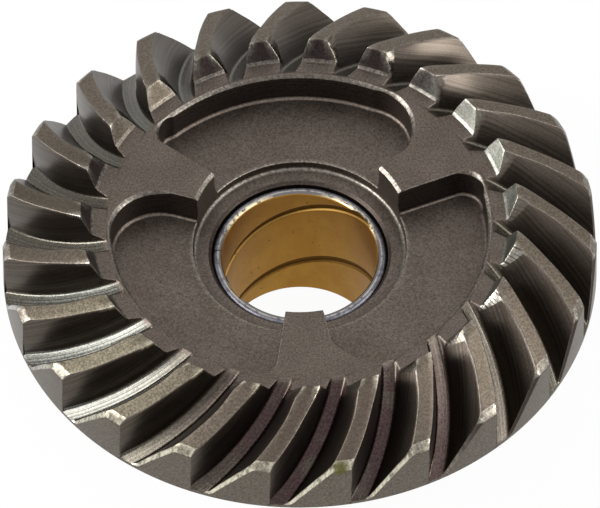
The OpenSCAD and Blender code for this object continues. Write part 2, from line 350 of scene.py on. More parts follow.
def tooth_ring():
    """Grid of the tooth ring, in rows from the plate to the heel rim.

    Gives radius, turn, height and masks per vertex.
    """
    level, side = tooth_columns()
    plate_r = RING_START_R + np.array([0, 0.07, 0.17, 0.31, 0.51, 0.77, 1.07, 1.37, 1.67, 1.91, 2.03])
    toe_r = TOE_BASE_R + np.array([0.02, 0.16, 0.33, 0.38, 0.6, 0.85, 1.1, 1.35, 1.55, 1.66, 1.74])
    facet_r = TOE_TOP_R + np.array([0.25, 0.6, 0.95, 1.22, 1.38])
    fixed = np.concatenate([plate_r, toe_r, facet_r])
    inner = np.repeat(fixed[:, None], COLUMNS_PER_TOOTH, axis=1)
    reach = heel_zone(level)
    along = np.linspace(0, 1, 14)[1:, None]
    face = fixed[-1] + (OUTSIDE_R - reach - fixed[-1])[None, :] * along
    heel = OUTSIDE_R - reach[None, :] * np.array([0.93, 0.7, 0.45, 0.2, 0.06])[:, None]
    r = np.vstack([inner, face, heel])
    rows = len(r)
    levels = np.broadcast_to(level, r.shape)
    sides = np.broadcast_to(side, r.shape)
    turn, z, ground, facet, across = ring_point(r, levels, sides)

    first = np.broadcast_to(np.arange(rows)[:, None] == 0, r.shape)
    z = np.where(first, FRONT_Z, z)
    on_land = (levels >= 13) & (r > TOE_TOP_R - 0.02)
    land = on_land.astype(float)
    strip = (levels >= 13) & (r > TOE_BASE_R) & (r < TOE_BASE_R + TOE_STRIP)
    toe = (levels >= 13) & (r > TOE_BASE_R) & (r < TOE_TOP_R)
    shield = (levels == 13) & (sides < 0) & (r > HEEL_TOP_R + 0.03)
    flank = ((levels >= 4) & (levels <= 11) & (r > ROOT_START_R)).astype(float)
    root = (levels <= 3) * smooth((r - ROOT_START_R - 0.1) / 0.8)
    tip_edge = ((levels >= 11) & (levels <= 13) & (r > TOE_BASE_R + TOE_STRIP)).astype(float)
    edge_shine = 0.05 + 0.4 * toe_corner(r)
    chamfer = on_land & (r > HEEL_TOP_R + 0.03)
    shine = edge_shine * tip_edge + 0.25 * strip + 0.3 * chamfer + 0.4 * shield
    masks = {
        "land": land * (1 - 0.5 * chamfer),
        "flank": flank,
        "root": root,
        "ground": np.clip(ground + shine, 0, 1),
        "heel": np.zeros_like(r),
        "wall": np.zeros_like(r),
        "toe": toe.astype(float),
        "facet": facet.astype(float),
        "across": across,
    }
    return repeat_teeth(r, turn, z, masks)


def repeat_teeth(r, turn, z, masks):
    """Copies the columns of one pitch all round."""
    steps = np.repeat(np.arange(TEETH) * PITCH, COLUMNS_PER_TOOTH)
    tiled = {name: np.tile(mask, TEETH) for name, mask in masks.items()}
    return np.tile(r, TEETH), np.tile(turn, TEETH) + steps, np.tile(z, TEETH), tiled


def polar(r, turn):
    """Points at a radius and a turn in degrees."""
    angle = np.radians(turn)
    return np.stack([r * np.cos(angle), r * np.sin(angle)], axis=-1)


def crossing(centre_r, corner_r):
    """Angle at the axis from a corner's centre to where its circle crosses the pocket's wall."""
    cosine = (POCKET_R**2 + centre_r**2 - corner_r**2) / (2 * POCKET_R * centre_r)
    return np.degrees(np.arccos(cosine))


def corner_arc(centre, corner_r, start, end, count):
    """Points of a corner's arc from one bearing to another, and the way from them into the pocket."""
    bearing = np.linspace(start, end, count)
    out = polar(1.0, bearing)
    return centre + corner_r * out, -out, bearing


def dog_outline(count):
    """Outline round one dog at turn 0, from the drive corner of one pocket to the back corner of the next.

    It runs round the drive corner, in along the drive side, over the dog's end, out along the back
    side and round the back corner. Gives points, ways into the pocket, chamfer, floor fillet, 1 on the
    dog's end, and the turns at which it leaves and meets the pockets' outer wall.
    """
    drive_r = POCKET_R - DRIVE_CORNER_R + DRIVE_RELIEF
    drive_turn = -DRIVE_SIDE - np.degrees(np.arcsin(DRIVE_CORNER_R / drive_r))
    back_r = POCKET_R - BACK_CORNER_R + BACK_RELIEF
    back_turn = BACK_SIDE + np.degrees(np.arcsin(BACK_CORNER_R / back_r))
    drive_centre = polar(drive_r, drive_turn)
    back_centre = polar(back_r, back_turn)
    span = (drive_turn - crossing(drive_r, DRIVE_CORNER_R), back_turn + crossing(back_r, BACK_CORNER_R))
    first = polar(POCKET_R, span[0]) - drive_centre
    last = polar(POCKET_R, span[1]) - back_centre
    drive_start = np.degrees(np.arctan2(first[1], first[0]))
    back_end = np.degrees(np.arctan2(last[1], last[0]))

    counts = {"drive_corner": 28, "drive_side": 5, "end": 9, "back_side": 4}
    counts["back_corner"] = count - sum(counts.values())
    edge_turn = np.degrees((SIDE_BREAK + 0.04) / COUNTERBORE_R)

    drive_pos, drive_way, drive_bearing = corner_arc(
        drive_centre, DRIVE_CORNER_R, drive_start, 90 - DRIVE_SIDE, counts["drive_corner"]
    )
    drive_foot = drive_r * np.cos(np.radians(-DRIVE_SIDE - drive_turn))
    drive_line = np.linspace(drive_foot, COUNTERBORE_R + SIDE_BREAK, counts["drive_side"] + 1)[1:]
    drive_side_pos = polar(drive_line, np.full_like(drive_line, -DRIVE_SIDE))
    end_turn = np.linspace(-DRIVE_SIDE + edge_turn, BACK_SIDE - edge_turn, counts["end"])
    end_pos = polar(COUNTERBORE_R, end_turn)
    back_foot = back_r * np.cos(np.radians(back_turn - BACK_SIDE))
    back_line = np.linspace(COUNTERBORE_R + SIDE_BREAK, back_foot, counts["back_side"] + 1)[:-1]
    back_side_pos = polar(back_line, np.full_like(back_line, BACK_SIDE))
    back_pos, back_way, back_bearing = corner_arc(
        back_centre, BACK_CORNER_R, BACK_SIDE - 90, back_end, counts["back_corner"]
    )

    across_drive = np.broadcast_to(-polar(1.0, 90 - DRIVE_SIDE), drive_side_pos.shape)
    across_back = np.broadcast_to(polar(1.0, 90 + BACK_SIDE), back_side_pos.shape)
    drive_fade = smooth((90 - DRIVE_SIDE - drive_bearing) / 40)
    back_fade = smooth((back_bearing - BACK_SIDE + 90) / 20)
    points = np.vstack([drive_pos, drive_side_pos, end_pos, back_side_pos, back_pos])
    ways = np.vstack([drive_way, across_drive, -polar(1.0, end_turn), across_back, back_way])

    def along(on_side, on_wall, at_end):
        """A size along the outline: one for the sides, fading in the corners to the wall's, and the end's."""
        return np.concatenate([
            on_side + (on_wall - on_side) * drive_fade,
            np.full(counts["drive_side"], on_side),
            np.full(counts["end"], at_end),
            np.full(counts["back_side"], on_side),
            on_side + (on_wall - on_side) * back_fade,
        ])

    chamfer = along(SIDE_BREAK, POCKET_CHAMFER, POCKET_CHAMFER)
    fillet = along(SIDE_FILLET, POCKET_FILLET, SIDE_FILLET)
    on_end = along(0.0, 0.0, 1.0)
    return points, ways, chamfer, fillet, on_end, span


def clutch_outline(ring_turn):
    """Outline of the clutch face for all columns: the pockets' outer wall at the ring's turns, and the dogs.

    Columns whose turn falls beside a dog take the dog's outline, the others stay on the outer wall.
    """
    points = polar(POCKET_R, ring_turn)
    ways = -polar(1.0, ring_turn)
    chamfer = np.full(COLUMNS, POCKET_CHAMFER)
    fillet = np.full(COLUMNS, POCKET_FILLET)
    on_end = np.zeros(COLUMNS)
    span = dog_outline(COLUMNS // 5)[-1]
    for dog in range(DOGS):
        middle = DOG_PHASE + dog * 360 / DOGS
        offset = (ring_turn - middle + 180) % 360 - 180
        order = np.argsort(offset)
        inside = order[(offset[order] > span[0]) & (offset[order] < span[1])]
        dog_points, dog_ways, dog_chamfer, dog_fillet, dog_end, _ = dog_outline(len(inside))
        angle = np.radians(middle)
        spin = np.array([[np.cos(angle), np.sin(angle)], [-np.sin(angle), np.cos(angle)]])
        points[inside] = dog_points @ spin
        ways[inside] = dog_ways @ spin
        chamfer[inside] = dog_chamfer
        fillet[inside] = dog_fillet
        on_end[inside] = dog_end
    outline_r = np.hypot(points[:, 0], points[:, 1])
    blended = np.mean([np.roll(ways, step, axis=0) for step in range(-4, 5)], axis=0)
    blended = blended / np.hypot(blended[:, 0], blended[:, 1])[:, None]
    ways = np.where((outline_r > POCKET_R - 1.0)[:, None], blended, ways)
    room = np.clip(PLATE_EDGE_R - 0.04 - outline_r, 0.03, None)
    chamfer = np.where(on_end > 0, chamfer, np.minimum(chamfer, room))
    return points, ways, chamfer, fillet, on_end


def bore_turns(floor_edge, on_end):
    """Turn of each column at the counterbore.

    On a dog's end it is its own; a pocket's columns share its sweep by outline length.
    """
    turns = np.degrees(np.arctan2(floor_edge[:, 1], floor_edge[:, 0]))
    ends = np.flatnonzero(on_end)
    starts = ends[np.flatnonzero(on_end[(ends + 1) % COLUMNS] == 0)]
    for first in starts:
        count = np.flatnonzero(on_end[(first + 1 + np.arange(COLUMNS)) % COLUMNS])[0]
        inside = (first + 1 + np.arange(count)) % COLUMNS
        step = np.hypot(*np.diff(floor_edge[inside], axis=0).T)
        share = np.concatenate([[0], np.cumsum(step)]) / step.sum()
        margin = np.degrees((SIDE_FILLET + 0.05) / COUNTERBORE_R)
        begin = turns[first] + margin
        sweep = 360 / DOGS - DRIVE_SIDE - BACK_SIDE - 2 * margin
        turns[inside] = begin + sweep * share
    return turns


def clutch_face(ring_turn):
    """Rows from the bush seat to the plate's edge.

    They pass over the counterbore, the pocket's floor, fillet and wall, and the chamfer.
    """
    points, ways, chamfer, fillet, on_end = clutch_outline(ring_turn)
    end = on_end > 0
    outline_r = np.hypot(points[:, 0], points[:, 1])
    mitre = np.where(end, 0.0, np.clip(COUNTERBORE_R + POCKET_CHAMFER - outline_r, 0, None))
    outward = points / outline_r[:, None]
    brink = FRONT_Z - np.maximum(chamfer, mitre)
    foot = points + ways * fillet[:, None]
    # How far the outline faces the front (-Y); it sets painted shade by the walls on the far side
    shade = np.clip(-ways[:, 1], 0, 1)
    turns = bore_turns(foot, on_end)
    floor_r = COUNTERBORE_R + 0.2
    floor_edge = polar(floor_r, turns)
    rows, heights, walls, grounds = [], [], [], []

    def add(xy, z, wall=0.0, ground=0.0):
        rows.append(np.broadcast_to(xy, (COLUMNS, 2)))
        heights.append(np.broadcast_to(z, COLUMNS).astype(float))
        walls.append(np.broadcast_to(wall, COLUMNS).astype(float))
        grounds.append(np.broadcast_to(ground, COLUMNS).astype(float))

    # Painted shade: the bore wall and chamfer above the bush take the dark wall colour
    seat_mid = (SEAT_CHAMFER + COUNTERBORE_Z) / 2
    add(polar(SEAT_R, turns), seat_mid, 1.0)
    add(polar(SEAT_R, turns), COUNTERBORE_Z - SEAT_CHAMFER, 1.0)
    add(polar(SEAT_R + SEAT_CHAMFER, turns), COUNTERBORE_Z, 0.7)
    add(polar(SEAT_R + SEAT_CHAMFER + 0.1, turns), COUNTERBORE_Z)
    for angle in np.radians([0, 22.5, 45, 67.5, 90]):
        r = COUNTERBORE_R - COUNTERBORE_FILLET * (1 - np.sin(angle))
        # Painted highlight: a bright bare-metal line along the middle of the counterbore fillet
        shine = 0.5 * np.sin(2 * angle) ** 4
        add(polar(r, turns), COUNTERBORE_Z + COUNTERBORE_FILLET * (1 - np.cos(angle)), 0.3, shine)

    wall_low, wall_high = POCKET_Z - 0.2, FRONT_Z - POCKET_CHAMFER
    end_z = np.linspace(wall_low, wall_high, 14)
    end_xy = polar(COUNTERBORE_R, turns)

    def add_floor(step, xy, z, wall=0.0, ground=0.0):
        mixed = np.where(end[:, None], end_xy, xy)
        add(mixed, np.where(end, end_z[step], z), np.where(end, 0.4, wall), np.where(end, 0.0, ground))

    add_floor(0, end_xy, wall_low, 0.4)
    add_floor(1, polar(COUNTERBORE_R + 0.03, turns), POCKET_Z - 0.1, 0.0, 0.4)
    add_floor(2, floor_edge, POCKET_Z, 0.0, 0.2)
    # Painted shade: floor rows near walls on the far side take a share of the dark wall colour, most at the
    # fillet's foot
    for step, share in enumerate([0.04, 0.35, 0.7], start=3):
        wall_and_painted_shade = 0.45 * max(share - 0.3, 0) * shade
        add_floor(step, floor_edge + (foot - floor_edge) * share, POCKET_Z, wall_and_painted_shade)
    for step, angle in enumerate(np.radians([0, 22.5, 45, 67.5, 90]), start=6):
        inset = fillet * (1 - np.sin(angle))
        wall_and_painted_shade = 1.0 if angle > 1.5 else 0.45 * shade * (angle < 0.1)
        rise = fillet * (1 - np.cos(angle))
        add_floor(step, points + ways * inset[:, None], POCKET_Z + rise, wall_and_painted_shade)
    add_floor(11, points, (POCKET_Z + POCKET_FILLET + brink) / 2, 1.0)
    add_floor(12, points, brink - 0.06, 1.0)
    # Painted shade: rim chamfers of walls on the far side take the dark wall colour and lose bare-metal shine
    chamfer_painted_shade = 0.6 * shade**3
    bright = 0.45 * (1 - chamfer_painted_shade)
    add(points - ways * 0.03 + outward * (0.06 * mitre)[:, None], brink + 0.03, chamfer_painted_shade, bright)
    over = points - ways * (chamfer - 0.03)[:, None] + outward * (0.94 * mitre)[:, None]
    add(over, FRONT_Z - 0.03, chamfer_painted_shade, bright)
    add(points - ways * (chamfer + 0.02)[:, None] + outward * (1.04 * mitre)[:, None], FRONT_Z)
    add(polar(PLATE_EDGE_R, ring_turn), FRONT_Z)
    xy = np.array(rows)
    tooth_masks = ("land", "flank", "root", "heel", "toe", "facet", "across")
    masks = {name: np.zeros(xy.shape[:2]) for name in tooth_masks}
    masks["wall"] = np.array(walls)
    masks["ground"] = np.array(grounds)
    return xy, np.array(heights), masks, turns


def turned_back(rim_turn):
    """Rows down the rim, over the underside, back, shoulder, journal and hub end.

    They are a profile turned about Z; past its first two points the columns are evenly spaced.
    """
    even = np.arange(COLUMNS) * 360 / COLUMNS
    even = even + np.mean(rim_turn - even)
    half_bevel = SHOULDER_H / 2
    profile = [
        (OUTSIDE_R, RIM_Z + 0.12),
        (OUTSIDE_R - 0.05, RIM_Z - 0.04),
        (OUTSIDE_R - 0.2, RIM_Z - 0.2),
        (RIM_UNDER_R + 0.3, BACK_Z + 0.3),
        (RIM_UNDER_R + 0.1, BACK_Z + 0.12),
        (RIM_UNDER_R - 0.3, BACK_Z),
        ((RIM_UNDER_R + SHOULDER_R) / 2, BACK_Z),
        (SHOULDER_R + half_bevel + 0.1, BACK_Z),
        (SHOULDER_R + half_bevel, BACK_Z - 0.05),
        (SHOULDER_R + 0.08, JOURNAL_LENGTH + 0.1),
        (SHOULDER_R - 0.08, JOURNAL_LENGTH),
        (JOURNAL_R + RELIEF_W + RELIEF_DEPTH + 0.04, JOURNAL_LENGTH),
        (JOURNAL_R + RELIEF_W + RELIEF_DEPTH - 0.04, JOURNAL_LENGTH + 0.04),
        (JOURNAL_R + RELIEF_W + 0.05, JOURNAL_LENGTH + RELIEF_DEPTH - 0.03),
        (JOURNAL_R + RELIEF_W - 0.1, JOURNAL_LENGTH + RELIEF_DEPTH),
        (JOURNAL_R + 0.1, JOURNAL_LENGTH + RELIEF_DEPTH),
        (JOURNAL_R, JOURNAL_LENGTH + RELIEF_DEPTH - 0.1),
        (JOURNAL_R, JOURNAL_LENGTH / 2),
        (JOURNAL_R, HUB_CHAMFER + 0.06),
        (JOURNAL_R - 0.06, HUB_CHAMFER - 0.08),
        (JOURNAL_R - HUB_CHAMFER + 0.08, 0.06),
        (JOURNAL_R - HUB_CHAMFER - 0.06, 0.0),
        (SEAT_R + SEAT_CHAMFER + 0.05, 0.0),
        (SEAT_R + SEAT_CHAMFER - 0.05, 0.04),
    ]
    radius, height = np.array(profile).T
    turn = np.broadcast_to(even, (len(profile), COLUMNS)).copy()
    turn[:2] = rim_turn
    return radius, turn, height


def gear_grid():
    """The whole gear as one grid, closed both ways: clutch face, tooth ring, rim, back and bush seat."""
    ring_r, ring_turn, ring_z, ring_masks = tooth_ring()
    face_xy, face_zs, face_masks, turns = clutch_face(ring_turn[0])
    ring_xy = polar(ring_r, ring_turn)

    level, side = tooth_columns()
    widen = np.degrees(0.05 / OUTSIDE_R) * np.where((level > 1) & (level < 13), side, 0.0)
    rim_turn = ring_turn[-1] + np.tile(widen, TEETH)
    rim_top = np.maximum(ring_z[-1] - 0.1, RIM_Z + 0.3)
    shares = np.array([0, 0.06, 0.5])
    rim_z = rim_top[None, :] + (RIM_Z + 0.2 - rim_top)[None, :] * shares[:, None]
    rim_xy = np.broadcast_to(polar(OUTSIDE_R, rim_turn), (len(shares), COLUMNS, 2))

    back_r, back_turn, back_z = turned_back(rim_turn)
    back_xy = polar(back_r[:, None], back_turn)
    seat_xy = polar(SEAT_R, turns)[None]
    xy = np.concatenate([face_xy, ring_xy, rim_xy, back_xy, seat_xy])
    tail = np.repeat(back_z[:, None], COLUMNS, axis=1)
    seat_z = np.full((1, COLUMNS), SEAT_CHAMFER)
    z = np.concatenate([face_zs, ring_z, rim_z, tail, seat_z])

    rest = len(z) - len(face_zs) - len(ring_z)
    masks = {}
    for name, ring_mask in ring_masks.items():
        masks[name] = np.concatenate([face_masks[name], ring_mask, np.zeros((rest, COLUMNS))])
    rim_rows = slice(len(face_zs) + len(ring_z), len(face_zs) + len(ring_z) + len(shares) + 1)
    masks["heel"][rim_rows] = 1.0
    span = np.hypot(xy[..., 0], xy[..., 1])
    seat = (span > JOURNAL_R - 0.01) & (span < SHOULDER_R)
    seat = seat & (z < JOURNAL_LENGTH + 0.01) & (z > HUB_CHAMFER)
    masks["ground"] = np.maximum(masks["ground"], 0.25 * seat)
    points = np.concatenate([xy, z[..., None]], axis=-1)
    return points, masks


def grid_piece(name, points, masks=None, sharp=32.0):
    """A mesh from a grid of points, closed along its rows and its columns, with masks as attributes."""
    rows, columns = points.shape[:2]
    index = np.arange(rows * columns).reshape(rows, columns)
    right = np.roll(index, -1, axis=1)
    below = np.roll(index, -1, axis=0)
    corner = np.roll(right, -1, axis=0)
    faces = np.stack([index, right, corner, below], axis=-1).reshape(-1, 4)
    flat = points.reshape(-1, 3) * MM
    a, b, c = flat[faces[:, 0]], flat[faces[:, 1]], flat[faces[:, 2]]
    if np.sum(a * np.cross(b, c)) < 0:
        faces = faces[:, ::-1]
    mesh = bpy.data.meshes.new(name)
    mesh.vertices.add(len(flat))
    mesh.vertices.foreach_set("co", flat.ravel())
    mesh.loops.add(faces.size)
    mesh.loops.foreach_set("vertex_index", faces.ravel())
    mesh.polygons.add(len(faces))
    mesh.polygons.foreach_set("loop_start", np.arange(0, faces.size, 4))
    mesh.update(calc_edges=True)
    mesh.validate()
    mesh.polygons.foreach_set("use_smooth", np.ones(len(mesh.polygons), bool))
    mesh.set_sharp_from_angle(angle=np.radians(sharp))
    for mask, values in (masks or {}).items():
        layer = mesh.attributes.new(mask, "FLOAT", "POINT")
        layer.data.foreach_set("value", values.ravel().astype(np.float32))
    piece = bpy.data.objects.new(name, mesh)
    bpy.context.scene.collection.objects.link(piece)
    weighted = piece.modifiers.new("even_normals", "WEIGHTED_NORMAL")
    weighted.keep_sharp = True
    return piece


def turned_ring(profile, columns):
    """A closed profile of (radius, height) points turned about Z."""
    radius, height = np.array(profile).T
    turn = np.arange(columns) * 360 / columns
    xy = polar(radius[:, None], turn[None, :])
    z = np.repeat(height[:, None], columns, axis=1)
    return np.concatenate([xy, z[..., None]], axis=-1)


def bush_shell_grid():
    """Steel back of the bush: a chamfered ring section turned about Z, with its edges slightly broken."""
    edge = 0.04
    chamfer_r = SEAT_R - BUSH_CHAMFER
    profile = [
        (LINING_R, BUSH_LOW),
        (chamfer_r - edge, BUSH_LOW),
        (chamfer_r + edge, BUSH_LOW + edge),
        (SEAT_R, BUSH_LOW + BUSH_CHAMFER),
        (SEAT_R, BUSH_TOP - BUSH_CHAMFER),
        (chamfer_r + edge, BUSH_TOP - edge),
        (chamfer_r - edge, BUSH_TOP),
        (LINING_R, BUSH_TOP),
    ]
    return turned_ring(profile, 300)


def bush_lining_grid():
    """Bronze lining: columns follow the oil grooves' helix, and a groove's section sinks into the bore.

    Turn at height z is the column's own turn plus phase minus 360 (z - top) / pitch.
    """
    lead = np.arctan(GROOVE_PITCH / (2 * np.pi * BUSH_BORE_R))
    half = np.degrees(GROOVE_WIDTH / np.sin(lead) / 2 / BUSH_BORE_R)
    section = np.array([0, 0.35, 0.6, 0.72, 0.84, 0.93, 1.0, 1.08]) * half
    land = np.linspace(section[-1], 360 / GROOVE_STARTS - section[-1], 76)[1:-1]
    one = np.concatenate([section, land, 360 / GROOVE_STARTS - section[:0:-1]])
    own = np.concatenate([one + start * 360 / GROOVE_STARTS for start in range(GROOVE_STARTS)])
    gap = np.minimum(own % (360 / GROOVE_STARTS), -own % (360 / GROOVE_STARTS)) / half
    sink = GROOVE_DEPTH * (1 - smooth((gap - 0.72) / 0.33))

    low, top = BUSH_LOW, BUSH_TOP
    bore_z = np.linspace(low + LINING_CHAMFER, top - LINING_CHAMFER, 96)
    back_z = np.linspace(top, low, 60)
    edge_r = BUSH_BORE_R + LINING_CHAMFER
    z = np.concatenate([[low], bore_z, [top], back_z])
    bore_r = np.full(len(bore_z), BUSH_BORE_R)
    back_r = np.full(len(back_z), LINING_R)
    base_r = np.concatenate([[edge_r], bore_r, [edge_r], back_r])
    sunk = np.concatenate([[0.6], np.ones(len(bore_z)), [0.6], np.zeros(len(back_z))])
    r = base_r[:, None] + sunk[:, None] * sink[None, :]
    turn = own[None, :] + GROOVE_PHASE - (z[:, None] - top) / GROOVE_PITCH * 360
    xy = polar(np.minimum(r, LINING_R - 0.02 * (sunk[:, None] > 0)), turn)
    heights = np.repeat(z[:, None], len(own), axis=1)
    groove = np.broadcast_to(sink / GROOVE_DEPTH, r.shape) * (sunk[:, None] > 0.9)
    return np.concatenate([xy, heights[..., None]], axis=-1), {"groove": groove}


class Shade:
    """An output socket of a node tree, used in Python expressions: operators on values add Math nodes."""

    def __init__(self, tree, socket=None):
        self.tree = tree
        self.socket = socket

    def node(self, kind, settings=None, inputs=None, output=0):
        """Adds any node: its settings first, then its inputs, each a plain value or another Shade."""
        made = self.tree.nodes.new("ShaderNode" + kind)
        for name, value in (settings or {}).items():
            setattr(made, name, value)
        for name, value in (inputs or {}).items():
            if isinstance(value, Shade):
                self.tree.links.new(value.socket, made.inputs[name])
            else:
                made.inputs[name].default_value = value
        return Shade(self.tree, made.outputs[output])

    def math(self, operation, first, second=0.0):
        return self.node("Math", {"operation": operation}, {0: first, 1: second})

    def __add__(self, other):
        return self.math("ADD", self, other)

    def __radd__(self, other):
        return self.math("ADD", other, self)

    def __sub__(self, other):
        return self.math("SUBTRACT", self, other)

    def __rsub__(self, other):
        return self.math("SUBTRACT", other, self)

    def __mul__(self, other):
        return self.math("MULTIPLY", self, other)

    def __rmul__(self, other):
        return self.math("MULTIPLY", other, self)

    def between(self, low, high):
        """0 at low, 1 at high, with a smooth step between."""
        settings = {"interpolation_type": "SMOOTHSTEP"}
        return self.node("MapRange", settings, {"Value": self, "From Min": low, "From Max": high})


def mix(share, first, second, blend="MIX"):
    """Two colours mixed by a share, a number or one that changes over the surface."""
    settings = {"data_type": "RGBA", "blend_type": blend}
    any_shade = next(item for item in (share, first, second) if isinstance(item, Shade))
    return any_shade.node("Mix", settings, {0: share, 6: first, 7: second}, output=2)


def colour(red, green, blue):
    """A linear colour from the three sRGB numbers, 0 to 255, that it should show."""
    shown = np.array([red, green, blue]) / 255
    linear = np.where(shown <= 0.04045, shown / 12.92, ((shown + 0.055) / 1.055) ** 2.4)
    return (*linear.tolist(), 1.0)


def grain(place, size_mm, detail=2.0, stretch=None):
    """Noise with features of a size in millimetres, stretched along an axis if asked."""
    if stretch is not None:
        place = place.node("Mapping", None, {"Vector": place, "Scale": stretch})
    inputs = {"Vector": place, "Scale": 1 / (size_mm * MM), "Detail": detail, "Roughness": 0.6}
    return place.node("TexNoise", {"noise_dimensions": "3D"}, inputs)


def streaks(way):
    """Noise along one number, which draws streaks where that number stays the same."""
    return way.node("TexNoise", {"noise_dimensions": "1D"}, {"W": way, "Scale": 1.0, "Detail": 2.0})


def new_material(name):
    """A new node material, its shader node and the Object coordinates as a Shade."""
    material = bpy.data.materials.new(name)
    material.use_nodes = True
    tree = material.node_tree
    shader = tree.nodes["Principled BSDF"]
    start = Shade(tree)
    place = start.node("TexCoord", output="Object")
    return material, shader, place


def feed(shader, **sockets):
    """Links what changes over the surface to the shader's sockets, and sets plain numbers on them."""
    for name, value in sockets.items():
        socket = shader.inputs[name.replace("_", " ")]
        if isinstance(value, Shade):
            value.tree.links.new(value.socket, socket)
        else:
            socket.default_value = value


def around(place):
    """Radius from the axis, in metres."""
    flat = place.node("VectorMath", {"operation": "MULTIPLY"}, {0: place, 1: (1, 1, 0)})
    return flat.node("VectorMath", {"operation": "LENGTH"}, {0: flat}, output="Value")


def near(place, x, y, z, reach):
    """1 at a spot of the part, in millimetres, falling smoothly to 0 at its reach."""
    spot = (x * MM, y * MM, z * MM)
    gap = place.node("VectorMath", {"operation": "DISTANCE"}, {0: place, 1: spot}, output="Value")
    return 1 - gap.between(0.3 * reach * MM, reach * MM)


